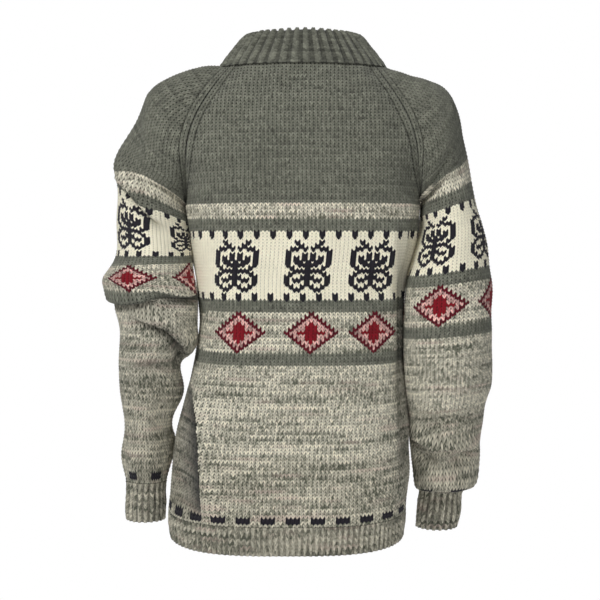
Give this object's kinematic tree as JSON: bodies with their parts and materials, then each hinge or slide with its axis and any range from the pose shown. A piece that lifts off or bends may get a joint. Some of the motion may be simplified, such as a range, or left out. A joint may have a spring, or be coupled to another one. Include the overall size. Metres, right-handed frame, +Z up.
{
  "type": "nordic sweater",
  "caption": "Chunky hand-knitted raglan pullover in its hollow worn form, with a ribbed funnel collar, patterned bands and ribbed hem and cuffs.",
  "frame": {"origin": "middle of the neckline, level with the base of the neck, where the garment hangs on its wearer", "axes": "+Z up, the wearer faces -Y, +X towards the wearer's left sleeve"},
  "size_m": [0.5309, 0.247, 0.7079],
  "materials": {
    "back": "chunky stocking stitch, sage yoke, cream and marl bands, marl below",
    "front": "chunky stocking stitch, sage yoke, cream and marl bands, marl below",
    "sleeve_left": "chunky stocking stitch, sage cap, cream and marl bands, marl below",
    "sleeve_right": "chunky stocking stitch, sage cap, cream and marl bands, marl below",
    "collar": "thick 1x1 rib in sage wool",
    "hem_back": "1x1 rib in beige and sage marl wool",
    "hem_front": "1x1 rib in beige and sage marl wool",
    "cuff_left": "1x1 rib in beige and sage marl wool",
    "cuff_right": "1x1 rib in beige and sage marl wool"
  },
  "bodies": {
    "root": {"back": "back", "front": "front", "sleeve_left": "sleeve_left", "sleeve_right": "sleeve_right", "collar": "collar", "hem_back": "hem_back", "hem_front": "hem_front", "cuff_left": "cuff_left", "cuff_right": "cuff_right"}
  },
  "joints": []
}
